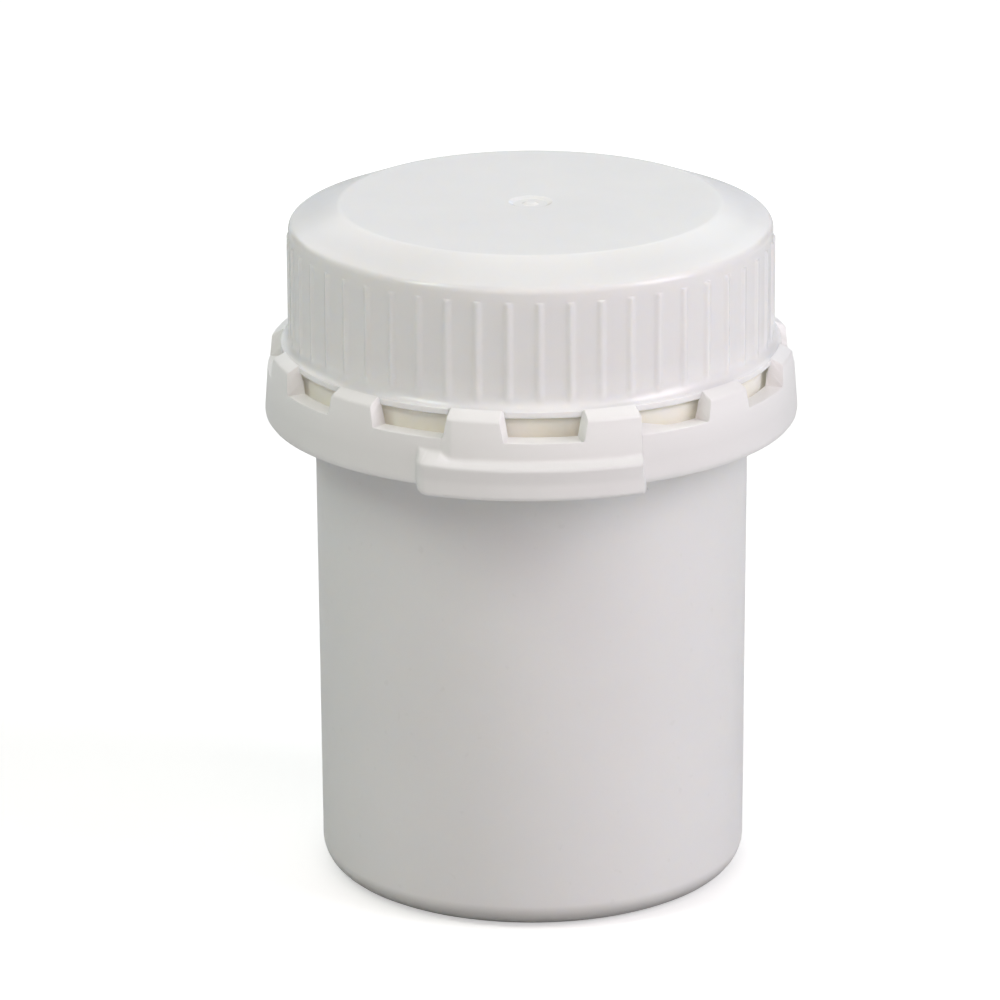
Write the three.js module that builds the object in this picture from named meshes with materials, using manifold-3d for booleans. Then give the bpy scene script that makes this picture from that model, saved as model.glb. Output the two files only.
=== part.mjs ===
// A straight-sided wide-mouth tablet jar with a ribbed screw cap, a sealing liner and a tear-off
// tamper strip with a pull tab. Millimetres, +Z up, origin at the centre of the base, tab towards -Y.
// Angles round the jar are in degrees from -Y towards +X.
import * as THREE from "three";
import { mergeVertices } from "three/addons/utils/BufferGeometryUtils.js";
import Module from "manifold-3d";

const wasm = await Module();
wasm.setup();

// ---- Driving dimensions -----------------------------------------------------------------------
const gap = 0.3; // between neighbouring solids
const turn = 360;
const jarFacets = 60;
const linerFacets = 48;
const stripFacets = 72;

const bodyRadius = 23.07; // just under the collar
const bodyFootRadius = 22.8; // above the bottom corner
const wall = 1.25;
const footCorner = 3.05;
const insideCorner = 2.2;
const footRingInner = 16.8; // the standing ring's inner edge
const pushUp = 1.0; // height of the hollow in the middle of the base
const pushUpEdgeRadius = 13;
const pushUpEdge = 0.75;
const floorThickness = 1.3;
const shoulderZ = 52; // where the wall starts to thicken towards the collar

const collarRadius = 25.6; // the bead that the strip hooks under
const collarBottom = 54.4;
const collarSlopeZ = 56.4; // above this the collar slopes in to the neck
const collarTop = 58.0;
const neckRadius = 22.9; // thread root
const neckBore = 21.4;
const neckFoot = 0.5; // fillet between the collar and the neck
const lipZ = 70.4;
const lipOuterBevel = 0.55;
const lipInnerBevel = 0.3;

const threadPitch = 4.2;
const threadTurns = 1.5;
const neckThreadStart = 61.2;
const neckThreadCrest = 23.85;
const neckThreadRootHalf = 1.2; // half the ridge's height at its root
const neckThreadCrestHalf = 0.4;
const capThreadCrest = 23.25;
const capThreadRootHalf = 1.1;
const capThreadCrestHalf = 0.35;
const capThreadDrop = 1.6; // the cap's ridge runs this far below the neck's
const threadEmbed = 0.4; // how far a ridge's root reaches into its wall

const capHeight = 73.73;
const capDiscRadius = 20.27;
const capShoulderRadius = 0.8; // rounding between the bevel and the skirt
const capShoulderZ = 70.95;
const skirtRadius = 25.66; // between the ribs
const skirtInner = 24.3;
const skirtBottom = 58.1;
const flareRadius = 26.6; // the skirt's flared edge over the strip
const flareEdge = 0.7;
const flareMiddle = [26.08, 59.4];
const flareTop = [25.74, 60.3];
const ceilingZ = 71.9;
const ceilingCorner = 1.25;
const gateRadius = 0.5;
const gateDimpleRadius = 2.1;
const gateDimpleSlope = 0.3;
const gateDimpleDepth = 0.22;

const ribCount = 50;
const ribRelief = 0.27;
const ribWidth = 0.86;
const ribTop = 70.2;
const ribBottom = 59.2;
const ribPhase = -0.6; // degrees, how the closed cap stands to the strip's windows

const linerRadius = 22.6;
const linerEdge = 0.15;
const linerBottom = lipZ + gap;
const linerTop = ceilingZ - gap;

const stripBottom = 50.8;
const stripWidestZ = 51.3;
const stripWidestRadius = 28.37;
const stripSill = 56.0;
const stripSillRadius = 28.0;
const stripShoulderZ = 58.2;
const stripShoulderRadius = 27.65;
const stripTop = 58.9;
const stripTopWidth = 0.4;
const stripInner = 26.1;
const stripFootBevel = 0.4;
const hookRadius = 24.8; // the hook on the strip's inside, under the collar
const hookZ = 53.2;
const hookTopZ = 53.8;
const hookRootTopZ = 54.0;
const hookRootBottomZ = 51.6;
const windowCount = 12;
const windowSillAngle = 15.6;
const windowTopAngle = 18.6;
const linkAngle = turn / windowCount;
const splitAngle = 21.1; // right-hand end of the strip's free block
const halfGapAngle = 0.4; // taken off each end of a link
const blockLeftAngle = -22;
const blockProud = 0.35;

const tabLeftX = -13.1; // its ends are square to the front, not radial
const tabRightX = 10.2;
const tabCorner = 1.5; // rounding of its left end, where the finger pulls
const tabRidgeRadius = 30.2;
const tabRidgeZ = 53.7;
const tabBottom = 50.2;
const tabLean = 0.2; // how far its lower edge stands behind the ridge
const tabHollow = 0.3; // how far its face is hollowed for the fingertip
const tabEdge = 0.4;

// ---- Solids -----------------------------------------------------------------------------------
const radians = THREE.MathUtils.degToRad;

function solidOf(geometry) {
  const bare = geometry.index ? geometry.toNonIndexed() : geometry.clone();
  bare.deleteAttribute("normal");
  bare.deleteAttribute("uv");
  const merged = mergeVertices(bare, 1e-3);
  return new wasm.Manifold(
    new wasm.Mesh({
      numProp: 3,
      vertProperties: merged.attributes.position.array,
      triVerts: new Uint32Array(merged.index.array),
    }),
  );
}

function geometryOf(solid) {
  const mesh = solid.getMesh();
  const geometry = new THREE.BufferGeometry();
  geometry.setAttribute("position", new THREE.BufferAttribute(mesh.vertProperties, mesh.numProp));
  geometry.setIndex(new THREE.BufferAttribute(mesh.triVerts, 1));
  const flat = geometry.toNonIndexed();
  flat.computeVertexNormals();
  return flat;
}

// Points of an arc in the (radius, height) plane, in degrees from the +radius direction.
function arc(centreR, centreZ, radius, from, to, steps) {
  return Array.from({ length: steps + 1 }, (_, i) => {
    const a = radians(from + ((to - from) * i) / steps);
    return [centreR + radius * Math.cos(a), centreZ + radius * Math.sin(a)];
  });
}

// A profile of [radius, height] points turned about Z.
function turned(profile, segments) {
  const points = profile.map(([r, z]) => new THREE.Vector2(r, z));
  return solidOf(new THREE.LatheGeometry(points, segments).rotateX(Math.PI / 2));
}

function turnedRing(section, segments) {
  return turned([...section, section[0]], segments);
}

// A wedge about the Z axis between two angles, large enough to hold the strip.
function wedge(from, to) {
  const reach = 40;
  const steps = Math.ceil((to - from) / 20);
  const rim = Array.from({ length: steps + 1 }, (_, i) => {
    const a = radians(from + ((to - from) * i) / steps);
    return new THREE.Vector2(reach * Math.sin(a), -reach * Math.cos(a));
  });
  const shape = new THREE.Shape([new THREE.Vector2(0, 0), ...rim]);
  const depth = capHeight; // taller than the strip
  return solidOf(new THREE.ExtrudeGeometry(shape, { depth, bevelEnabled: false, steps: 1 }));
}

// A ridge of trapezoid section that climbs round the Z axis by one pitch a turn.
function helicalRidge({ embedRadius, crestRadius, rootHalf, crestHalf, startZ }) {
  const stepAngle = 10;
  const steps = (threadTurns * turn) / stepAngle;
  const fadeSteps = 3; // the ridge rises to its full height over these steps
  const endShare = 0.3; // how much of a step it has risen at its very end
  const corners = 4;
  const positions = [];
  for (let i = 0; i <= steps; i += 1) {
    const a = radians(i * stepAngle);
    const z = startZ + (threadPitch * i * stepAngle) / turn;
    const fade = Math.min(1, (i + endShare) / fadeSteps, (steps - i + endShare) / fadeSteps);
    const crest = embedRadius + (crestRadius - embedRadius) * fade;
    const section = [
      [embedRadius, z - rootHalf],
      [crest, z - crestHalf],
      [crest, z + crestHalf],
      [embedRadius, z + rootHalf],
    ];
    for (const [r, height] of section) positions.push(r * Math.sin(a), -r * Math.cos(a), height);
  }
  const index = [];
  for (let i = 0; i < steps; i += 1) {
    for (let k = 0; k < corners; k += 1) {
      const here = i * corners + k;
      const next = i * corners + ((k + 1) % corners);
      index.push(here, here + corners, next, next, here + corners, next + corners);
    }
  }
  const last = steps * corners;
  index.push(0, 1, 2, 0, 2, 3);
  index.push(last, last + 2, last + 1, last, last + 3, last + 2);
  const outwards = crestRadius > embedRadius;
  const geometry = new THREE.BufferGeometry();
  geometry.setAttribute("position", new THREE.Float32BufferAttribute(positions, 3));
  geometry.setIndex(outwards ? index : index.reverse());
  return solidOf(geometry);
}

// ---- Jar --------------------------------------------------------------------------------------
function makeJar() {
  const footFlat = bodyFootRadius - footCorner;
  const insideFlat = bodyFootRadius - wall - insideCorner;
  const profile = [
    [0, pushUp],
    [pushUpEdgeRadius, pushUpEdge],
    [footRingInner, 0],
    ...arc(footFlat, footCorner, footCorner, -90, 0, 5),
    [bodyRadius, shoulderZ],
    [bodyRadius, collarBottom - gap],
    [collarRadius, collarBottom],
    [collarRadius, collarSlopeZ],
    [neckRadius + neckFoot, collarTop],
    [neckRadius, collarTop + neckFoot],
    [neckRadius, lipZ - lipOuterBevel],
    [neckRadius - lipOuterBevel, lipZ],
    [neckBore + lipInnerBevel, lipZ],
    [neckBore, lipZ - lipInnerBevel],
    [neckBore, collarTop],
    [bodyRadius - wall, shoulderZ],
    ...arc(insideFlat, floorThickness + insideCorner, insideCorner, 0, -90, 3),
    [footRingInner, floorThickness],
    [pushUpEdgeRadius, pushUpEdge + floorThickness],
    [0, pushUp + floorThickness],
  ];
  const thread = helicalRidge({
    embedRadius: neckRadius - threadEmbed,
    crestRadius: neckThreadCrest,
    rootHalf: neckThreadRootHalf,
    crestHalf: neckThreadCrestHalf,
    startZ: neckThreadStart,
  });
  return turned(profile, jarFacets).add(thread);
}

// ---- Cap --------------------------------------------------------------------------------------
function makeRib() {
  const half = ribWidth / 2;
  const crestHalf = half / 2;
  const inner = skirtRadius - threadEmbed;
  const crest = skirtRadius + ribRelief;
  const outline = [
    [-half, -inner],
    [-half, -skirtRadius],
    [-crestHalf, -crest],
    [crestHalf, -crest],
    [half, -skirtRadius],
    [half, -inner],
  ];
  const shape = new THREE.Shape(outline.map(([x, y]) => new THREE.Vector2(x, y)));
  const rib = new THREE.ExtrudeGeometry(shape, { depth: ribTop - ribBottom, bevelEnabled: false });
  return rib.translate(0, 0, ribBottom);
}

function makeCap() {
  const bevelAngle = 68; // the bevel's normal, above the horizontal
  const profile = [
    [0, ceilingZ],
    [skirtInner - ceilingCorner, ceilingZ],
    [skirtInner, ceilingZ - ceilingCorner],
    [skirtInner, skirtBottom],
    [flareRadius, skirtBottom],
    [flareRadius, skirtBottom + flareEdge],
    flareMiddle,
    flareTop,
    ...arc(skirtRadius - capShoulderRadius, capShoulderZ, capShoulderRadius, 0, bevelAngle, 3),
    [capDiscRadius, capHeight],
    [gateDimpleRadius + gateDimpleSlope, capHeight],
    [gateDimpleRadius, capHeight - gateDimpleDepth],
    [gateRadius, capHeight - gateDimpleDepth],
    [gateRadius, capHeight],
    [0, capHeight],
  ];
  const thread = helicalRidge({
    embedRadius: skirtInner + threadEmbed,
    crestRadius: capThreadCrest,
    rootHalf: capThreadRootHalf,
    crestHalf: capThreadCrestHalf,
    startZ: neckThreadStart - capThreadDrop,
  });
  let cap = turned(profile, 2 * ribCount).add(thread);
  const rib = makeRib();
  for (let i = 0; i < ribCount; i += 1) {
    cap = cap.add(solidOf(rib.clone().rotateZ(radians((turn * i) / ribCount + ribPhase))));
  }
  return cap;
}

function makeLiner() {
  const profile = [
    [0, linerBottom],
    [linerRadius - linerEdge, linerBottom],
    [linerRadius, linerBottom + linerEdge],
    [linerRadius, linerTop],
    [0, linerTop],
  ];
  return turned(profile, linerFacets);
}

// ---- Tear-off strip ---------------------------------------------------------------------------
// The strip's full section, from its bottom edge up to the tops of its posts.
function stripSection(proud) {
  return [
    [stripInner, stripBottom],
    [stripWidestRadius - stripFootBevel + proud, stripBottom],
    [stripWidestRadius + proud, stripWidestZ],
    [stripSillRadius + proud, stripSill],
    [stripShoulderRadius + proud, stripShoulderZ],
    [flareRadius + gap + stripTopWidth, stripTop],
    [flareRadius + gap, stripTop],
    [flareRadius + gap, skirtBottom - gap],
    [stripInner, skirtBottom - gap],
    [stripInner, hookRootTopZ],
    [hookRadius + 0.2, hookTopZ],
    [hookRadius, hookZ],
    [stripInner, hookRootBottomZ],
  ];
}

// Cuts one window between two posts, from the sill up, wider at the top.
function windowCutter(angle) {
  const near = hookRadius;
  const depth = tabRidgeRadius - near;
  const height = stripTop - stripSill + gap;
  const sillHalf = stripSillRadius * Math.tan(radians(windowSillAngle / 2));
  const topHalf = stripSillRadius * Math.tan(radians(windowTopAngle / 2));
  const shape = new THREE.Shape([
    new THREE.Vector2(-sillHalf, 0),
    new THREE.Vector2(sillHalf, 0),
    new THREE.Vector2(topHalf, height),
    new THREE.Vector2(-topHalf, height),
  ]);
  const block = new THREE.ExtrudeGeometry(shape, { depth, bevelEnabled: false });
  block.rotateX(Math.PI / 2).translate(0, -near, stripSill).rotateZ(radians(angle));
  return solidOf(block);
}

const stripRing = turnedRing(stripSection(0), stripFacets);
const proudRing = turnedRing(stripSection(blockProud), stripFacets);

function cutWindows(solid, angles) {
  return angles.reduce((rest, angle) => rest.subtract(windowCutter(angle)), solid);
}

// One link of the strip, from the middle of one window to the middle of the next.
function makeLink(from, to) {
  const piece = stripRing.intersect(wedge(from + halfGapAngle, to - halfGapAngle));
  return cutWindows(piece, [from, to]);
}

// The free end: two posts and the front window, thickened where the pull tab is moulded on.
function makeEndBlock() {
  const plain = stripRing.intersect(wedge(-linkAngle + halfGapAngle, splitAngle - halfGapAngle));
  const pad = proudRing.intersect(wedge(blockLeftAngle, splitAngle - halfGapAngle));
  return cutWindows(plain.add(pad), [-linkAngle, 0]);
}

// The last link, which stays on the neck; its end beside the split has no post of its own.
function makeAnchor() {
  const piece = stripRing.intersect(wedge(splitAngle + halfGapAngle, 2 * linkAngle - halfGapAngle));
  return cutWindows(piece, [linkAngle, 2 * linkAngle]);
}

function makePullTab() {
  const inner = stripWidestRadius + blockProud + gap;
  const section = [
    [inner, stripBottom],
    [tabRidgeRadius - tabLean, tabBottom],
    [tabRidgeRadius - tabHollow, (tabBottom + tabRidgeZ) / 2],
    [tabRidgeRadius, tabRidgeZ - tabEdge],
    [tabRidgeRadius - tabEdge, tabRidgeZ],
    [inner, tabRidgeZ + tabEdge],
  ];
  const back = -stripInner * Math.cos(radians(linkAngle));
  const front = -1.2 * tabRidgeRadius;
  const cornerX = tabLeftX + tabCorner;
  const cornerY = -Math.sqrt((tabRidgeRadius - tabCorner) ** 2 - cornerX ** 2);
  const cornerEnd = turn / 2 + Math.atan(cornerY / cornerX) * THREE.MathUtils.RAD2DEG;
  const outline = new THREE.Shape();
  outline.moveTo(tabRightX, front);
  outline.lineTo(tabRightX, back);
  outline.lineTo(tabLeftX, back);
  outline.absarc(cornerX, cornerY, tabCorner, Math.PI, radians(cornerEnd), false);
  outline.lineTo(0, front);
  const depth = capHeight;
  const block = new THREE.ExtrudeGeometry(outline, { depth, bevelEnabled: false, curveSegments: 5 });
  return turnedRing(section, stripFacets).intersect(solidOf(block));
}

// ---- Assembly ---------------------------------------------------------------------------------
const materials = {
  jar: new THREE.MeshStandardMaterial({ color: 0xececea, roughness: 0.5, metalness: 0 }),
  cap: new THREE.MeshStandardMaterial({ color: 0xf4f4f2, roughness: 0.28, metalness: 0 }),
  strip: new THREE.MeshStandardMaterial({ color: 0xf2f2f0, roughness: 0.32, metalness: 0 }),
  liner: new THREE.MeshStandardMaterial({ color: 0xe6e2d6, roughness: 0.8, metalness: 0 }),
};

const root = new THREE.Group();

function addPart(name, solid, material) {
  const mesh = new THREE.Mesh(geometryOf(solid), material);
  mesh.name = name;
  root.add(mesh);
}

addPart("jar", makeJar(), materials.jar);
addPart("cap", makeCap(), materials.cap);
addPart("liner", makeLiner(), materials.liner);
addPart("strip_end_block", makeEndBlock(), materials.strip);
addPart("pull_tab", makePullTab(), materials.strip);
const linkCount = 9;
for (let i = 1; i <= linkCount; i += 1) {
  const to = -linkAngle * i;
  addPart(`strip_link_0${i}`, makeLink(to - linkAngle, to), materials.strip);
}
addPart("strip_anchor", makeAnchor(), materials.strip);

export default root;
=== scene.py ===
"""A white tablet jar with a ribbed screw cap, a sealing liner and a tear-off strip with a pull tab.

The frame comes first. Shapes are in millimetres until build_mesh() writes metres, and materials, lights
and the camera are in metres. Angles round the jar are in degrees from -Y towards +X, as in the CAD.
"""
import math
import bpy
import numpy as np
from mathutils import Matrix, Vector
from mathutils.geometry import tessellate_polygon


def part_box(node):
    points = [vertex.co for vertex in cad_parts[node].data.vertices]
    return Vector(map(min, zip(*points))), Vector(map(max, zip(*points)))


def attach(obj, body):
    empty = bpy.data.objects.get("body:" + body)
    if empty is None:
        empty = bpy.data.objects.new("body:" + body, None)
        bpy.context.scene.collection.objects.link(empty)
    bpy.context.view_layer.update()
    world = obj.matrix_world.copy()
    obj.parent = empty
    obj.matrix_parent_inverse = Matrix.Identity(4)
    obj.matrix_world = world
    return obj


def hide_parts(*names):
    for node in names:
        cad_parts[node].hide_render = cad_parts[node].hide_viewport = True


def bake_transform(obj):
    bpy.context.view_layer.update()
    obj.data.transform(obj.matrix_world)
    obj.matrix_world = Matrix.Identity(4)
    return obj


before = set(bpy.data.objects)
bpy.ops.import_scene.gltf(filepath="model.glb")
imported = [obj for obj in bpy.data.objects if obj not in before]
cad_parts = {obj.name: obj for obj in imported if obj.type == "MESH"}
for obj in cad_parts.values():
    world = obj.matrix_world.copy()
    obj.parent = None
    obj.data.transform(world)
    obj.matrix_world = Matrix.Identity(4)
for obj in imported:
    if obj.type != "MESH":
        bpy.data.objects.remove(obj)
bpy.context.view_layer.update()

METRES_PER_MM = 0.001
TURN = 360.0


def box_mm(node):
    """A CAD node's lowest and highest corner, in millimetres."""
    low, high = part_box(node)
    return np.array(low) / METRES_PER_MM, np.array(high) / METRES_PER_MM


# ---- Sizes taken from the frame ----------------------------------------------------------------
jar_high = box_mm("jar")[1]
cap_low, cap_high = box_mm("cap")
liner_low, liner_high = box_mm("liner")
strip_low = box_mm("strip_link_02")[0]
tab_low = box_mm("pull_tab")[0]

COLLAR_R = jar_high[0]
LIP_Z = jar_high[2]
CAP_TOP = cap_high[2]
SKIRT_BOTTOM = cap_low[2]
FLARE_R = cap_high[0]
LINER_R = liner_high[0]
LINER_BOTTOM = liner_low[2]
LINER_TOP = liner_high[2]
STRIP_BOTTOM = strip_low[2]
TAB_BOTTOM = tab_low[2]
TAB_RIDGE_R = -tab_low[1]

# ---- Jar ---------------------------------------------------------------------------------------
BODY_R = 23.07
BODY_FOOT_R = 22.8
WALL = 1.25
FOOT_FILLET = 3.05
RING_INNER_R = 16.8
PUSH_UP = 1.0
FLOOR = 1.3
BODY_TOP = 54.1
COLLAR_BOTTOM = 54.4
COLLAR_TOP = 57.55
NECK_BOTTOM = 58.4
NECK_R = 22.9
BORE_R = 21.4
THREAD_PITCH = 4.2
THREAD_TURNS = 1.5
NECK_THREAD_START = 61.2
NECK_THREAD_HEIGHT = 0.95
THREAD_FADE = 0.07       # turns over which a thread rises at its start and sinks at its end
NECK_THREAD_ZONE = (58.6, 70.0)  # heights with a fine mesh for the thread
CAP_THREAD_START = 59.6
CAP_THREAD_HEIGHT = 1.05
CAP_THREAD_ZONE = (58.6, 70.6)

# ---- Cap ---------------------------------------------------------------------------------------
SKIRT_R = 25.66
SKIRT_INNER_R = 24.3
DISC_R = 20.27
SHOULDER_Z = 71.63
CEILING_Z = 71.9
GATE_R = 2.1             # the gate mark's dimple
GATE_DEPTH = 0.24
RIBS = 50
RIB_HEIGHT = 0.21
RIB_HALF = 1.4           # degrees, out to the foot of its soft flanks
RIB_TOP = 70.25
RIB_NOSE = 0.45          # height of a rib's round top end
RIB_FADE = (59.3, 60.6)  # heights between which the ribs fade into the flare
FLARE_EDGE = 0.7         # height of the flare's upright edge
FLARE_SWEEP = 1.6        # height over which the skirt sweeps out into the flare
RIB_PHASE = -0.6         # degrees
LIP_PRINT = 0.12         # how deep the lip presses into the liner

# ---- Strip -------------------------------------------------------------------------------------
WINDOWS = 12
PITCH = TURN / WINDOWS
WIDEST_R = 28.37
WIDEST_Z = 51.35
TAPER = 0.0739           # radius lost for each millimetre up the outer face
INNER_R = 26.1
SILL_Z = 56.0
POST_SHOULDER = 2.2      # height of a post's outer corner above the sill
POST_TOP = 2.95          # height of a post's inner edge above the sill
POST_TOP_R = 26.45
SILL_HALF = 7.8          # degrees, half a window at its sill
SIDE = 1.0               # degrees, how far a window's side leans
SIDE_DRAFT = 0.55        # degrees, how much wider a window is on its outer side
SPLIT = 21.1             # degrees, the strip's free end
BLOCK_LEFT = -22.3
BLOCK_EASE = 3.0         # degrees over which the front block rises from the strip
BLOCK_PROUD = 0.35
BLOCK_UNDERSIDE = 1.2    # how far out from the inner face its rise starts
HOOK_DEPTH = 1.25
HOOK_Z = 53.2
HOOK_HALF = 10.5         # degrees, half of the hook below each window
HOOK_EASE = 2.0          # degrees over which it fades
TAB_LEFT_X = -13.1       # the tab's ends are square to the front, not radial
TAB_RIGHT_X = 10.2
TAB_END = math.degrees(math.asin(TAB_RIGHT_X / TAB_RIDGE_R))
TAB_CORNER = 1.5         # rounding of its left end
TAB_LEDGE_Z = 54.6       # where its ledge meets the strip's plain face
TAB_LEDGE_DROP = 0.65    # how much lower the ledge meets the front block's face
TAB_FOOT_LEAN = 1.1      # degrees, how far the lower back edge of its right end reaches out
STUB_RISE = 1.0          # the torn stub at the split, above the sill
STUB_END = 29.7          # degrees
SPLIT_GAP = (0.2, 0.35)  # degrees kept clear each side of the split, on the free end and on the stub
CHAMFER = 0.12           # of the free end's cut face
CHAMFER_REACH = 0.22     # degrees
STUB_CHAMFER = 0.1
STUB_CHAMFER_REACH = 0.18        # degrees
LINKS = WINDOWS - 3
STRIP_BODIES = ["strip_end"] + [f"link_{k}" for k in range(1, LINKS + 1)] + ["jar_body"]
STRIP_NODES = [["strip_end_block", "pull_tab"]] + [[f"strip_link_{k:02d}"] for k in range(1, LINKS + 1)]


def ramp(u, ease=0.2):
    """0 below u = 0 and 1 above u = 1, straight in the middle and eased at both ends."""
    u = np.clip(u, 0.0, 1.0)
    scale = 2 * ease * (1 - ease)
    middle = (u - ease / 2) / (1 - ease)
    low = u * u / scale
    high = 1 - (1 - u) ** 2 / scale
    return np.where(u < ease, low, np.where(u > 1 - ease, high, middle))


# ---- Outlines ----------------------------------------------------------------------------------
def rounded(corners, steps=5):
    """An open outline through (radius, height, fillet) corners, each fillet an arc of so many steps."""
    points = []
    for i, (r, z, fillet) in enumerate(corners):
        here = np.array((r, z), float)
        if fillet <= 0 or i in (0, len(corners) - 1):
            points.append(here)
            continue
        back = np.array(corners[i - 1][:2], float) - here
        ahead = np.array(corners[i + 1][:2], float) - here
        back_length, ahead_length = np.linalg.norm(back), np.linalg.norm(ahead)
        back /= back_length
        ahead /= ahead_length
        half = math.acos(float(np.clip(back @ ahead, -1, 1))) / 2
        if half > math.radians(89.9):
            points += [here] * (steps + 1)
            continue
        reach = min(fillet / math.tan(half), 0.49 * back_length, 0.49 * ahead_length)
        radius = reach * math.tan(half)
        bisector = (back + ahead) / np.linalg.norm(back + ahead)
        centre = here + bisector * radius / math.sin(half)
        start = here + back * reach - centre
        end = here + ahead * reach - centre
        sweep = math.atan2(start[0] * end[1] - start[1] * end[0], start @ end)
        for k in range(steps + 1):
            a = sweep * k / steps
            turned = (
                start[0] * math.cos(a) - start[1] * math.sin(a),
                start[0] * math.sin(a) + start[1] * math.cos(a),
            )
            points.append(centre + turned)
    return np.array(points)


def resampled(points, count):
    """The same outline as so many points, evenly spaced along it."""
    lengths = np.linalg.norm(np.diff(points, axis=0), axis=1)
    along = np.concatenate([[0.0], np.cumsum(lengths)])
    wanted = np.linspace(0, along[-1], count)
    return np.stack([np.interp(wanted, along, points[:, k]) for k in range(2)], axis=1)


def filled_in(points, low, high, radius_from, radius_to, step):
    """Adds points along an outline's upright stretches between two heights and two radii."""
    out = [points[0]]
    for a, b in zip(points[:-1], points[1:]):
        inside = radius_from < min(a[0], b[0]) and max(a[0], b[0]) < radius_to
        crosses = max(a[1], b[1]) > low and min(a[1], b[1]) < high
        if inside and crosses:
            pieces = max(1, int(np.linalg.norm(b - a) / step))
            out += [a + (b - a) * k / pieces for k in range(1, pieces)]
        out.append(b)
    return np.array(out)


# ---- Meshes ------------------------------------------------------------------------------------
def build_mesh(name, points, faces, sharp_angle=38):
    """A smooth-shaded mesh object from points in millimetres; edges over sharp_angle stay crisp."""
    mesh = bpy.data.meshes.new(name)
    scaled = np.asarray(points, float) * METRES_PER_MM
    mesh.from_pydata(scaled.tolist(), [], faces)
    mesh.validate()
    mesh.polygons.foreach_set("use_smooth", np.ones(len(mesh.polygons), bool))
    mesh.set_sharp_from_angle(angle=math.radians(sharp_angle))
    mesh.update()
    obj = bpy.data.objects.new(name, mesh)
    bpy.context.scene.collection.objects.link(obj)
    return obj


def polar(radius, angle, height):
    """Points at a radius, an angle in degrees and a height, as rows of x, y, z."""
    a = np.radians(angle)
    return np.stack([radius * np.sin(a), -radius * np.cos(a), height + 0 * a], axis=-1)


def turned_mesh(name, outline, angles, relief=None):
    """An outline that starts and ends on the axis, turned about Z. relief(radius, height, angle)
    gives how far each point stands out from the outline."""
    inner = outline[1:-1]
    columns, rows = len(angles), len(inner)
    radius = np.repeat(inner[None, :, 0], columns, axis=0)
    height = np.repeat(inner[None, :, 1], columns, axis=0)
    angle = np.repeat(np.asarray(angles)[:, None], rows, axis=1)
    if relief is not None:
        radius = radius + relief(radius, height, angle)
    points = polar(radius, angle, height).reshape(-1, 3)
    ends = np.array([[0, 0, outline[0][1]], [0, 0, outline[-1][1]]])
    first_pole, last_pole = len(points), len(points) + 1
    faces = []
    for i in range(columns):
        here, ahead = i * rows, ((i + 1) % columns) * rows
        faces.append((first_pole, ahead, here))
        faces.extend((here + j, ahead + j, ahead + j + 1, here + j + 1) for j in range(rows - 1))
        faces.append((last_pole, here + rows - 1, ahead + rows - 1))
    return build_mesh(name, np.concatenate([points, ends]), faces)


def cap_triangles(loop, offset, flip):
    """Triangles that close one end of a swept section. loop is the section as (radius, height)."""
    made = tessellate_polygon([[Vector((p[0], p[1], 0)) for p in loop]])
    triangles = []
    for a, b, c in made:
        u, v = loop[b] - loop[a], loop[c] - loop[a]
        anticlockwise = u[0] * v[1] - u[1] * v[0] > 0
        order = (a, b, c) if anticlockwise != flip else (a, c, b)
        triangles.append(tuple(offset + k for k in order))
    return triangles


def swept_mesh(name, loops, angles):
    """Closed sections, one at each column, joined into a closed solid with an end face at both ends.
    loops is columns x points x (radius, height), and angles is columns x points."""
    columns, count = loops.shape[:2]
    points = polar(loops[:, :, 0], angles, loops[:, :, 1]).reshape(-1, 3)
    faces = []
    for i in range(columns - 1):
        here, ahead = i * count, (i + 1) * count
        for j in range(count):
            k = (j + 1) % count
            faces.append((here + j, ahead + j, ahead + k, here + k))
    faces += cap_triangles(loops[0], 0, flip=False)
    faces += cap_triangles(loops[-1], (columns - 1) * count, flip=True)
    return build_mesh(name, points, faces)


# ---- Jar and cap -------------------------------------------------------------------------------
def thread_height(angle, height, start, crest_half, root_half):
    """How much of its full height a one-start thread has at each point, from 0 to 1."""
    share = np.zeros_like(height)
    for turn in range(math.ceil(THREAD_TURNS)):
        along = (angle % TURN) / TURN + turn
        centre = start + THREAD_PITCH * along
        flank = (root_half - np.abs(height - centre)) / (root_half - crest_half)
        ends = ramp(along / THREAD_FADE) * ramp((THREAD_TURNS - along) / THREAD_FADE)
        share = np.maximum(share, ramp(flank, 0.25) * ends)
    return share


def neck_relief(radius, height, angle):
    """The neck's thread stands out from the neck."""
    on_neck = (radius > NECK_R - 0.05) & (radius < NECK_R + 0.05) & (height > NECK_THREAD_ZONE[0])
    share = thread_height(angle, height, NECK_THREAD_START, 0.4, 1.25)
    return np.where(on_neck, NECK_THREAD_HEIGHT * share, 0.0)


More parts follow.
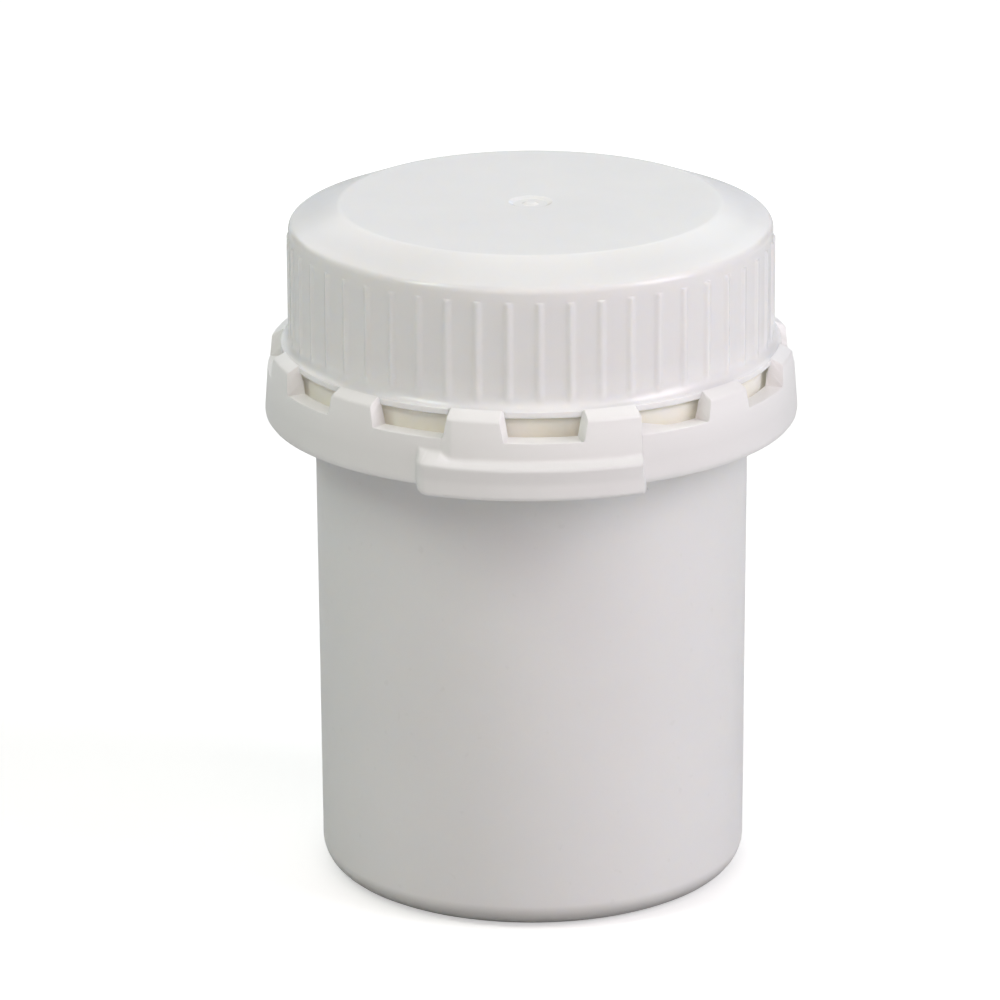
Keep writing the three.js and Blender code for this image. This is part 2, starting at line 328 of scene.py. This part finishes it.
def make_jar():
    """The jar's wall, from the middle of its base out, up, over the lip and back down inside."""
    corners = [
        (0, PUSH_UP + 0.25, 0),
        (0.7, PUSH_UP + 0.25, 0.2),
        (1.1, PUSH_UP, 0.2),
        (12.6, PUSH_UP - 0.2, 2.0),
        (15.6, 0.25, 0.8),
        (RING_INNER_R, 0, 0.5),
        (BODY_FOOT_R - 0.02, 0, FOOT_FILLET),
        (BODY_R, 52, 0),
        (BODY_R, BODY_TOP, 0.5),
        (COLLAR_R, COLLAR_BOTTOM, 0.25),
        (COLLAR_R, COLLAR_TOP, 0.45),
        (NECK_R + 0.35, COLLAR_TOP + 0.4, 0.3),
        (NECK_R, NECK_BOTTOM, 0.3),
        (NECK_R, LIP_Z, 0.5),
        (BORE_R, LIP_Z, 0.3),
        (BORE_R, 58, 1.0),
        (BODY_R - WALL, 52, 2.0),
        (BODY_FOOT_R - WALL, FLOOR, 2.2),
        (RING_INNER_R, FLOOR, 1.0),
        (13, PUSH_UP + FLOOR - 0.2, 1.0),
        (0, PUSH_UP + FLOOR, 0),
    ]
    outline = rounded(corners, steps=8)
    outline = filled_in(outline, *NECK_THREAD_ZONE, NECK_R - 0.05, NECK_R + 0.05, 0.25)
    return turned_mesh("jar_shell", outline, np.arange(0, TURN, 1.5), neck_relief)


def rib_angles():
    """Columns round the cap: close together over each rib, and wide between ribs."""
    offsets = np.concatenate([[-3.6, -2.4], np.linspace(-RIB_HALF, RIB_HALF, 13), [2.4]])
    return np.concatenate([RIB_PHASE + k * TURN / RIBS + offsets for k in range(RIBS)])


def cap_relief(radius, height, angle):
    """Ribs stand out from the skirt, and the thread stands in from its inside."""
    pitch = TURN / RIBS
    off_rib = (angle - RIB_PHASE + pitch / 2) % pitch - pitch / 2
    across = np.cos(np.clip(off_rib / RIB_HALF, -1, 1) * math.pi / 2) ** 2
    rise = np.clip((height - (RIB_TOP - RIB_NOSE)) / RIB_NOSE, 0, 1)
    top = np.where(height > RIB_TOP, 0.0, np.sqrt(np.clip(1 - rise**2, 0, 1)))
    foot = ramp((height - RIB_FADE[0]) / (RIB_FADE[1] - RIB_FADE[0]))
    outside = (radius > SKIRT_INNER_R + 0.6) & (height > RIB_FADE[0])
    inside = np.abs(radius - SKIRT_INNER_R) < 0.02
    thread = thread_height(angle, height, CAP_THREAD_START, 0.35, 1.15)
    ribs = np.where(outside, RIB_HEIGHT * across * top * foot, 0.0)
    return ribs - np.where(inside, CAP_THREAD_HEIGHT * thread, 0.0)


def flare_sweep():
    """The hollow curve from the flare's edge up into the skirt, a quarter of an ellipse."""
    top = SKIRT_BOTTOM + FLARE_EDGE + FLARE_SWEEP
    start, steps = math.radians(80), 9
    for k in range(steps + 1):
        t = start * (1 - k / steps)
        yield (FLARE_R - (FLARE_R - SKIRT_R) * math.cos(t), top - FLARE_SWEEP * math.sin(t), 0)


def make_cap():
    """The cap's wall, from its ceiling down inside, out under the flare and up to the gate mark."""
    corners = [
        (0, CEILING_Z, 0),
        (SKIRT_INNER_R - 1.25, CEILING_Z, 0.4),
        (SKIRT_INNER_R, CEILING_Z - 1.25, 0.4),
        (SKIRT_INNER_R, SKIRT_BOTTOM, 0.15),
        (FLARE_R - 0.02, SKIRT_BOTTOM, 0.16),
        (FLARE_R, SKIRT_BOTTOM + FLARE_EDGE, 0.2),
        *flare_sweep(),
        (SKIRT_R, RIB_TOP - 0.5, 0),
        (SKIRT_R - 0.01, SHOULDER_Z, 0.85),
        (DISC_R, CAP_TOP, 1.6),
        (GATE_R + 0.2, CAP_TOP, 0.3),
        (GATE_R - 0.3, CAP_TOP - GATE_DEPTH, 0.3),
        (0.9, CAP_TOP - GATE_DEPTH, 0.2),
        (0.5, CAP_TOP - 0.03, 0.3),
        (0, CAP_TOP - 0.01, 0),
    ]
    outline = rounded(corners, steps=8)
    outline = filled_in(outline, *CAP_THREAD_ZONE, SKIRT_INNER_R - 0.02, SKIRT_INNER_R + 0.02, 0.3)
    outline = filled_in(outline, RIB_TOP - 0.55, RIB_TOP + 0.05, SKIRT_R - 0.05, SKIRT_R + 0.05, 0.07)
    return turned_mesh("screw_cap", outline, rib_angles(), cap_relief)


def make_liner():
    """The sealing wad, with the ring that the jar's lip has pressed into its underside."""
    pressed = LINER_BOTTOM + LIP_PRINT
    corners = [
        (0, LINER_BOTTOM, 0),
        (BORE_R - 0.1, LINER_BOTTOM, 0.1),
        (BORE_R + 0.15, pressed, 0.1),
        (LINER_R - 0.35, pressed, 0.05),
        (LINER_R, pressed + 0.08, 0.08),
        (LINER_R, LINER_TOP, 0.1),
        (0, LINER_TOP, 0),
    ]
    return turned_mesh("sealing_liner", rounded(corners, steps=4), np.arange(0, TURN, 2.0))


# ---- Strip -------------------------------------------------------------------------------------
def face_radius(height):
    """The strip's outer face, above its widest point."""
    return WIDEST_R - TAPER * (height - WIDEST_Z)


def lower_plain(count):
    """The strip's plain lower outline, from its inside bottom corner up its outer face."""
    corners = [
        (INNER_R, STRIP_BOTTOM, 0),
        (WIDEST_R - 0.12, STRIP_BOTTOM, 0.5),
        (WIDEST_R, WIDEST_Z + 0.1, 1.2),
        (face_radius(SILL_Z - 0.2), SILL_Z - 0.2, 0),
    ]
    return resampled(rounded(corners, steps=8), count)


def lower_tab(count, proud, ledge_z):
    """The same stretch where the pull tab stands on it: under it, up its hollow face, over its ridge
    and back along its ledge, which meets the strip at ledge_z."""
    face = face_radius(ledge_z) + proud
    corners = [
        (INNER_R, STRIP_BOTTOM, 0),
        (WIDEST_R - 0.6, STRIP_BOTTOM, 0.6),
        (WIDEST_R + 0.2, TAB_BOTTOM + 0.12, 0.6),
        (TAB_RIDGE_R - 0.22, TAB_BOTTOM, 0.42),
        (TAB_RIDGE_R - 0.26, 52.0, 2.5),
        (TAB_RIDGE_R, 53.7, 0.3),
        (face, ledge_z, 0.45),
        (face_radius(SILL_Z - 0.2) + proud, SILL_Z - 0.2, 0),
    ]
    return resampled(rounded(corners, steps=8), count)


def off_window(angle):
    """Degrees from the middle of the nearest window."""
    return abs((angle + PITCH / 2) % PITCH - PITCH / 2)


def tab_reach(angle):
    """How far the tab stands out at an angle, from 0 to 1, from its outline seen from above."""
    if abs(angle) > 90:
        return 0.0
    a = math.radians(angle)
    if angle > 0:
        limit = TAB_RIGHT_X / math.sin(max(a, 0.01))
    else:
        limit = TAB_LEFT_X / math.sin(min(a, -0.01))
        centre_x = TAB_LEFT_X + TAB_CORNER
        centre_y = -math.sqrt((TAB_RIDGE_R - TAB_CORNER) ** 2 - centre_x**2)
        along = centre_x * math.sin(a) - centre_y * math.cos(a)
        spare = along**2 - centre_x**2 - centre_y**2 + TAB_CORNER**2
        if limit * math.cos(a) > -centre_y:
            limit = along + math.sqrt(max(spare, 0))
        if angle > math.degrees(math.atan2(centre_x, -centre_y)):
            limit = TAB_RIDGE_R
    return float(np.clip((limit - WIDEST_R) / (TAB_RIDGE_R - WIDEST_R), 0, 1))


def post_share(angle, widen=0.0):
    """0 in a window and 1 on a post. The free end's last post stands to full height at the split."""
    if PITCH / 2 < angle <= SPLIT:
        return 1.0
    return float(ramp((off_window(angle) - SILL_HALF - widen) / SIDE))


def lower_front(angle, count, block):
    """The section's outer side below its sill, with the front block's rise and the pull tab on it."""
    plain = lower_plain(count)
    proud = BLOCK_PROUD * block
    rise = proud * ramp((plain[:, 0] - INNER_R) / BLOCK_UNDERSIDE)
    plain = plain + np.stack([rise, 0 * rise], 1)
    tab = lower_tab(count, proud, TAB_LEDGE_Z - TAB_LEDGE_DROP * block)
    reach = tab_reach(angle)
    if angle > 0:
        limit = WIDEST_R + (TAB_RIDGE_R - WIDEST_R) * reach
        return np.stack([np.minimum(tab[:, 0], limit), tab[:, 1]], 1)
    return plain + (tab - plain) * np.array([reach, reach**1.5])


def section(angle, count, anchor_end):
    """The strip's closed section at one angle, anticlockwise from its inside bottom corner."""
    inner_post, outer_post = post_share(angle), post_share(angle, SIDE_DRAFT)
    stub = block = 0.0
    if anchor_end:
        lower = lower_plain(count)
        if angle + TURN < PITCH:
            inner_post = outer_post = 0.0
            stub = STUB_RISE * float(np.clip((STUB_END - angle - TURN) / (STUB_END - SPLIT), 0, 1))
    else:
        block = float(ramp((angle - BLOCK_LEFT) / BLOCK_EASE))
        lower = lower_front(angle, count, block)
    proud = BLOCK_PROUD * block
    outer_z = SILL_Z + POST_SHOULDER * outer_post
    inner_z = SILL_Z + POST_TOP * inner_post + stub
    inner_r = INNER_R + (POST_TOP_R - INNER_R) * inner_post
    hook = HOOK_DEPTH * float(ramp((HOOK_HALF - off_window(angle)) / HOOK_EASE))
    corners = [
        (lower[-1][0], lower[-1][1], 0),
        (face_radius(outer_z) + proud, outer_z, 0.3 + 0.2 * outer_post),
        (inner_r, inner_z, 0.08),
        (inner_r, inner_z - 0.25 - 0.8 * inner_post, 0),
        (INNER_R, SILL_Z - 0.4 + 1.7 * inner_post, 0),
        (INNER_R, HOOK_Z + 0.85, 0.1),
        (INNER_R - hook, HOOK_Z + 0.6, 0.15),
        (INNER_R - hook, HOOK_Z, 0.2),
        (INNER_R, HOOK_Z - 1.6, 0.2),
        (INNER_R, STRIP_BOTTOM, 0),
    ]
    upper = rounded(corners, steps=4)
    return np.concatenate([lower, upper[1:-1]])


def inset(loop, distance):
    """A closed section moved inwards by a distance, for the chamfer of a cut end."""
    back, ahead = np.roll(loop, 1, axis=0), np.roll(loop, -1, axis=0)
    along = ahead - back
    along /= np.maximum(np.linalg.norm(along, axis=1, keepdims=True), 1e-9)
    inwards = np.stack([-along[:, 1], along[:, 0]], axis=1)
    return loop + inwards * distance


def strip_columns(low, high):
    """Angles of the columns between two ends: fine over each window's sides and the tab's end."""
    marks = [low, high]
    for k in range(math.floor(low / PITCH) - 1, math.ceil(high / PITCH) + 2):
        for side in (-1, 1):
            sides = SILL_HALF + (SIDE + SIDE_DRAFT) * np.linspace(-0.05, 1.05, 17)
            marks += list(k * PITCH + side * sides)
        marks += list(k * PITCH + np.arange(-7, 8, 1.0))
        marks += list(k * PITCH + PITCH / 2 + np.arange(-5, 6, 1.0))
    marks += list(np.linspace(-27.7, -23.8, 14))
    marks += list(np.linspace(BLOCK_LEFT, BLOCK_LEFT + BLOCK_EASE, 8))
    marks += list(np.linspace(TAB_END, SPLIT, 8))
    kept = sorted(m for m in marks if low <= m <= high)
    out = [kept[0]]
    out += [b for a, b in zip(kept[:-1], kept[1:]) if b - out[-1] > 0.04]
    out[-1] = kept[-1]
    return np.array(out)


def make_section_piece(name, low, high, free_end=False, anchor_end=False):
    """One piece of the strip, from the middle of a post to the middle of the next."""
    count = 64 if free_end else 22
    angles = strip_columns(low, high)
    loops = np.array([section(a, count, anchor_end) for a in angles])
    spread = np.repeat(angles[:, None], loops.shape[1], axis=1)
    if free_end:
        radius, height = loops[:, :, 0], loops[:, :, 1]
        on_tab = np.clip((radius - 27.8) / 0.4, 0, 1) * np.clip((54.0 - height) / 3.8, 0, 1)
        near_end = np.clip((spread - TAB_END) / (SPLIT - TAB_END), 0, 1)
        spread = spread + TAB_FOOT_LEAN * on_tab * near_end
        loops = np.concatenate([loops, inset(loops[-1], CHAMFER)[None]])
        spread = np.concatenate([spread, spread[-1:] + CHAMFER_REACH])
    if anchor_end:
        loops = np.concatenate([inset(loops[0], STUB_CHAMFER)[None], loops])
        spread = np.concatenate([spread[:1] - STUB_CHAMFER_REACH, spread])
    return swept_mesh(name, loops, spread)


# ---- Materials ---------------------------------------------------------------------------------
JAR_COLOURS = ((0.835, 0.835, 0.83), (0.85, 0.85, 0.845))
SPECK_COLOUR = (0.72, 0.72, 0.70)
# Painted shade: the jar turns darker towards the floor at its foot, in place of the shade there
FOOT_PAINTED_SHADE_COLOUR = (0.40, 0.40, 0.39)
FOOT_PAINTED_SHADE_HEIGHTS = (0.0008, 0.0027)    # heights in metres, from full painted shade to none
# Painted light: a warm cream on the collar behind the strip's windows, in place of light that comes warm
# through the white plastic
COLLAR_PAINTED_LIGHT_COLOURS = ((0.92, 0.885, 0.77), (0.925, 0.90, 0.84))
COLLAR_BAND = (0.0541, 0.0588)   # heights in metres of the painted warm light on the collar
COLLAR_FADE = 0.0004             # metres over which the painted warm light ends
COLLAR_GLOW = 0.08               # light that comes through the strip to the collar
COLLAR_GLOW_COLOUR = (1.0, 0.95, 0.82, 1.0)
CAP_COLOURS = ((0.865, 0.865, 0.86), (0.88, 0.88, 0.875))
CAP_ROUGHNESS = (0.20, 0.25)
STRIP_COLOURS = ((0.85, 0.85, 0.845), (0.865, 0.865, 0.86))
STRIP_ROUGHNESS = (0.28, 0.33)
LINER_COLOURS = ((0.72, 0.68, 0.58), (0.84, 0.80, 0.71))
PAPER_COLOURS = ((0.68, 0.68, 0.68), (0.70, 0.70, 0.70))
SCATTER_DEPTH = 0.0015           # how deep light goes into the plastic
SCATTER = 0.7                    # share of the light that does, in the jar and the cap
# Painted light: the cap's lower skirt and the strip's posts turn paler, in place of light coming through
# thin plastic
PAINTED_BACKLIGHT_COLOUR = (0.945, 0.945, 0.94)
CAP_PAINTED_BACKLIGHT = (0.0625, 0.0592)      # heights in metres, from no painted light to full painted light
STRIP_PAINTED_BACKLIGHT = (0.0535, 0.0570)


class Nodes:
    """Short calls to add and join shader nodes."""

    def __init__(self, name):
        self.material = bpy.data.materials.new(name)
        self.material.use_nodes = True
        self.tree = self.material.node_tree
        self.shader = self.tree.nodes["Principled BSDF"]
        self.place = self.add("ShaderNodeTexCoord").outputs["Object"]

    def add(self, kind, **settings):
        node = self.tree.nodes.new(kind)
        for key, value in settings.items():
            setattr(node, key, value)
        return node

    def join(self, source, target):
        self.tree.links.new(source, target)

    def noise(self, scale, detail=3.0, roughness=0.5, stretch=None):
        """A noise pattern. scale is in features a metre, and stretch squeezes it along an axis."""
        node = self.add("ShaderNodeTexNoise")
        node.inputs["Scale"].default_value = scale
        node.inputs["Detail"].default_value = detail
        node.inputs["Roughness"].default_value = roughness
        place = self.place
        if stretch is not None:
            mapping = self.add("ShaderNodeMapping")
            mapping.inputs["Scale"].default_value = stretch
            self.join(self.place, mapping.inputs["Vector"])
            place = mapping.outputs["Vector"]
        self.join(place, node.inputs["Vector"])
        return node.outputs["Fac"]

    def ranged(self, source, low, high, to_low, to_high):
        node = self.add("ShaderNodeMapRange")
        for key, value in zip(("From Min", "From Max", "To Min", "To Max"), (low, high, to_low, to_high)):
            node.inputs[key].default_value = value
        self.join(source, node.inputs["Value"])
        return node.outputs["Result"]

    def mixed(self, share, first, second):
        """A colour between two others. Each is an RGB tuple or another node's output."""
        node = self.add("ShaderNodeMix", data_type="RGBA")
        self.join(share, node.inputs["Factor"])
        for socket, value in ((node.inputs[6], first), (node.inputs[7], second)):
            if isinstance(value, tuple):
                socket.default_value = (*value, 1.0)
            else:
                self.join(value, socket)
        return node.outputs[2]

    def bump(self, source, strength, distance, before=None):
        node = self.add("ShaderNodeBump")
        node.inputs["Strength"].default_value = strength
        node.inputs["Distance"].default_value = distance
        self.join(source, node.inputs["Height"])
        if before is not None:
            self.join(before, node.inputs["Normal"])
        return node.outputs["Normal"]

    def height(self):
        """The point's height, in metres."""
        node = self.add("ShaderNodeSeparateXYZ")
        self.join(self.place, node.inputs[0])
        return node.outputs["Z"]


def set_plastic(nodes, scatter, ior):
    """Constant values of a moulded plastic."""
    inputs = nodes.shader.inputs
    inputs["Subsurface Weight"].default_value = scatter
    inputs["Subsurface Radius"].default_value = (1.0, 0.92, 0.8)
    inputs["Subsurface Scale"].default_value = SCATTER_DEPTH
    inputs["IOR"].default_value = ior


def jar_material():
    """Satin polyethylene: a fine eggshell surface, faint flow bands, painted warm light and a painted glow
    on the collar, and painted shade at the foot.
    """
    n = Nodes("jar_polyethylene")
    set_plastic(n, SCATTER, 1.52)
    clouds = n.ranged(n.noise(60, 2), 0.25, 0.75, 0, 1)
    body = n.mixed(clouds, *JAR_COLOURS)
    specks = n.ranged(n.noise(900, 1), 0.72, 0.78, 0, 0.2)
    body = n.mixed(specks, body, SPECK_COLOUR)
    height = n.height()
    above = n.ranged(height, COLLAR_BAND[0], COLLAR_BAND[0] + COLLAR_FADE, 0, 1)
    below = n.ranged(height, COLLAR_BAND[1], COLLAR_BAND[1] - COLLAR_FADE, 0, 1)
    band = n.add("ShaderNodeMath", operation="MULTIPLY")
    n.join(above, band.inputs[0])
    n.join(below, band.inputs[1])
    # Painted warm light on the collar, with a mottle for its uneven strength
    warm_light_mottle = n.ranged(n.noise(260, 3), 0.3, 0.7, 0, 1)
    painted_warm_light = n.mixed(warm_light_mottle, *COLLAR_PAINTED_LIGHT_COLOURS)
    # Painted shade at the foot, darkest at the floor
    foot_painted_shade = n.ranged(height, *FOOT_PAINTED_SHADE_HEIGHTS, 0.85, 0)
    body = n.mixed(foot_painted_shade, body, FOOT_PAINTED_SHADE_COLOUR)
    n.join(n.mixed(band.outputs[0], body, painted_warm_light), n.shader.inputs["Base Color"])
    n.shader.inputs["Emission Color"].default_value = COLLAR_GLOW_COLOUR
    n.join(n.ranged(band.outputs[0], 0, 1, 0, COLLAR_GLOW), n.shader.inputs["Emission Strength"])
    n.join(n.ranged(n.noise(700, 4), 0.3, 0.7, 0.36, 0.46), n.shader.inputs["Roughness"])
    coarse = n.bump(n.noise(420, 3), 0.10, 0.0002)
    fine = n.bump(n.noise(2600, 2), 0.10, 0.00006, coarse)
    n.join(fine, n.shader.inputs["Normal"])
    return n.material


def moulding_material(name, colours, thin, roughness, drag, scatter):
    """Glossy moulded plastic: a faint orange peel, upright drag lines and slight cloudiness. Between the
    two heights of thin it turns paler: painted light, in place of the light that a thin edge lets through
    from behind."""
    n = Nodes(name)
    set_plastic(n, scatter, 1.5)
    clouds = n.ranged(n.noise(45, 2), 0.25, 0.75, 0, 1)
    thick = n.mixed(clouds, *colours)
    # Painted light: paler between the two heights
    edge = n.ranged(n.height(), *thin, 0, 1)
    n.join(n.mixed(edge, thick, PAINTED_BACKLIGHT_COLOUR), n.shader.inputs["Base Color"])
    n.join(n.ranged(n.noise(200, 2), 0.25, 0.75, *roughness), n.shader.inputs["Roughness"])
    lines = n.bump(n.noise(900, 1, 0.5, (1.0, 1.0, 0.02)), drag, 0.00001)
    peel = n.bump(n.noise(420, 2), 0.04, 0.00004, lines)
    n.join(peel, n.shader.inputs["Normal"])
    return n.material


def liner_material():
    """Pulpboard: soft fibres and a pressed, matt surface."""
    n = Nodes("liner_pulpboard")
    fibres = n.ranged(n.noise(1400, 5, 0.7, (1.0, 0.35, 1.0)), 0.35, 0.65, 0, 1)
    n.join(n.mixed(fibres, *LINER_COLOURS), n.shader.inputs["Base Color"])
    n.shader.inputs["Roughness"].default_value = 0.85
    n.join(n.bump(n.noise(2400, 4), 0.35, 0.0001), n.shader.inputs["Normal"])
    return n.material


def floor_material():
    """Pale studio paper. It looks nearly white, and throws less light back up at the jar than it shows."""
    n = Nodes("studio_paper")
    grain = n.ranged(n.noise(60, 3), 0.3, 0.7, 0, 1)
    n.join(n.mixed(grain, *PAPER_COLOURS), n.shader.inputs["Base Color"])
    n.shader.inputs["Roughness"].default_value = 0.9
    n.shader.inputs["Emission Color"].default_value = (1, 1, 1, 1)
    away = n.add("ShaderNodeVectorMath", operation="LENGTH")
    n.join(n.place, away.inputs[0])
    glow = n.ranged(away.outputs["Value"], *FLOOR_EDGE, FLOOR_GLOW, FAR_FLOOR_GLOW)
    seen = n.add("ShaderNodeLightPath").outputs["Is Camera Ray"]
    shown = n.add("ShaderNodeMath", operation="MULTIPLY")
    n.join(glow, shown.inputs[0])
    n.join(seen, shown.inputs[1])
    n.join(shown.outputs[0], n.shader.inputs["Emission Strength"])
    return n.material


def finish_piece(obj, material, nodes):
    obj.data.materials.clear()
    obj.data.materials.append(material)
    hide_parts(*nodes)


# ---- Assembly ----------------------------------------------------------------------------------
def add_jar_and_cap():
    jar = make_jar()
    finish_piece(jar, jar_material(), ["jar"])
    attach(jar, "jar_body")
    cap = make_cap()
    plastic = moulding_material("cap_plastic", CAP_COLOURS, CAP_PAINTED_BACKLIGHT, CAP_ROUGHNESS, 0.08, SCATTER)
    finish_piece(cap, plastic, ["cap"])
    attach(cap, "cap_body")
    liner = make_liner()
    finish_piece(liner, liner_material(), ["liner"])
    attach(liner, "liner_body")


def add_strip():
    material = moulding_material("strip_plastic", STRIP_COLOURS, STRIP_PAINTED_BACKLIGHT, STRIP_ROUGHNESS, 0.04, 0.0)
    last = len(STRIP_BODIES) - 2
    for k in range(last + 1):
        middle = -PITCH * (k + 1)
        low = middle - PITCH / 2
        high = SPLIT - SPLIT_GAP[0] if k == 0 else middle + PITCH / 2
        nodes = list(STRIP_NODES[k])
        if k == last:
            low = SPLIT + SPLIT_GAP[1] - TURN
            nodes.append("strip_anchor")
        piece = make_section_piece(f"strip_section_{k + 1:02d}", low, high, k == 0, k == last)
        finish_piece(piece, material, nodes)
        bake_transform(piece)


# ---- Stage, light and camera -------------------------------------------------------------------
FLOOR_GLOW = 0.5         # added to the paper as the camera sees it, and to nothing else
FAR_FLOOR_GLOW = 1.0     # the same away from the jar, where less light falls
FLOOR_EDGE = (0.45, 0.85)        # metres from the jar between which the glow rises
WORLD_FILL = 0.02        # the surround as the jar sees it
WORLD_SEEN = 1.0         # the surround as the camera sees it
CAMERA_DISTANCE = 0.7164
CAMERA_TARGET = (0.0, 0.0, 0.0372)
CAMERA_AZIMUTH = -2.6
CAMERA_ELEVATION = 18.68
CAMERA_PITCH = 18.43
CAMERA_ROLL = -0.21
CAMERA_LENS = 240.3
CAMERA_SHIFT_X = -0.0317


def add_camera():
    data = bpy.data.cameras.new("camera")
    data.lens = CAMERA_LENS
    data.sensor_width = 36.0
    data.shift_x = CAMERA_SHIFT_X
    data.clip_start = 0.01
    data.clip_end = 20.0
    camera = bpy.data.objects.new("camera", data)
    a, e = math.radians(CAMERA_AZIMUTH), math.radians(CAMERA_ELEVATION)
    back = Vector((math.sin(a) * math.cos(e), -math.cos(a) * math.cos(e), math.sin(e)))
    camera.location = Vector(CAMERA_TARGET) + back * CAMERA_DISTANCE
    camera.rotation_euler = (math.radians(90 - CAMERA_PITCH), 0.0, a)
    camera.rotation_euler.rotate_axis("Z", math.radians(CAMERA_ROLL))
    bpy.context.scene.collection.objects.link(camera)
    bpy.context.scene.camera = camera


LIGHT_CENTRE = Vector((0.0, 0.0, 0.045))
LIGHT_DISTANCE = 1.0
# Azimuth from the front towards +X and elevation in degrees, width and height in metres, power in watts
# and colour.
SOFTBOXES = {
    "front": (0, 45, 0.9, 0.9, 3.6, (1.0, 0.855, 0.83)),
    "right": (65, 30, 0.42, 0.75, 5.5, (0.98, 0.95, 1.0)),
    "left": (-66, 50, 0.20, 0.45, 2.8, (0.90, 1.0, 0.90)),
    "top": (0, 89, 0.9, 0.9, 0.4, (0.70, 0.84, 1.0)),
    "back_right": (150, 45, 0.9, 0.9, 1.55, (0.88, 1.0, 0.90)),
    "back_left": (-150, 45, 0.9, 0.9, 2.2, (1.0, 0.93, 0.93)),
    "backdrop": (180, 17, 1.1, 1.1, 2.35, (0.86, 0.90, 1.0)),
}


def add_softbox(name, azimuth, elevation, width, height, power, colour):
    data = bpy.data.lights.new(name, "AREA")
    data.shape = "RECTANGLE"
    data.size = width
    data.size_y = height
    data.energy = power
    data.color = colour
    light = bpy.data.objects.new(name, data)
    a, e = math.radians(azimuth), math.radians(elevation)
    away = Vector((math.sin(a) * math.cos(e), -math.cos(a) * math.cos(e), math.sin(e)))
    light.location = LIGHT_CENTRE + away * LIGHT_DISTANCE
    light.rotation_mode = "QUATERNION"
    light.rotation_quaternion = (-away).to_track_quat("-Z", "Y")
    light.visible_camera = False
    bpy.context.scene.collection.objects.link(light)


def add_floor():
    half = 3.0
    cells = 6
    line = np.linspace(-half, half, cells + 1)
    points = [(x, y, 0.0) for x in line for y in line]
    step = cells + 1
    faces = [
        (i * step + j, (i + 1) * step + j, (i + 1) * step + j + 1, i * step + j + 1)
        for i in range(cells)
        for j in range(cells)
    ]
    mesh = bpy.data.meshes.new("floor")
    mesh.from_pydata(points, [], faces)
    mesh.materials.append(floor_material())
    floor = bpy.data.objects.new("floor", mesh)
    bpy.context.scene.collection.objects.link(floor)


def add_world():
    """A white surround beyond the floor, which lights the jar only a little."""
    world = bpy.data.worlds.new("studio")
    world.use_nodes = True
    nodes, links = world.node_tree.nodes, world.node_tree.links
    background = nodes["Background"]
    background.inputs["Color"].default_value = (1.0, 1.0, 1.0, 1.0)
    strength = nodes.new("ShaderNodeMapRange")
    strength.inputs["To Min"].default_value = WORLD_FILL
    strength.inputs["To Max"].default_value = WORLD_SEEN
    links.new(nodes.new("ShaderNodeLightPath").outputs["Is Camera Ray"], strength.inputs["Value"])
    links.new(strength.outputs["Result"], background.inputs["Strength"])
    bpy.context.scene.world = world
    bpy.context.scene.view_settings.view_transform = "Standard"


add_camera()
add_jar_and_cap()
add_strip()
add_floor()
add_world()
for name, settings in SOFTBOXES.items():
    add_softbox(f"{name}_softbox", *settings)
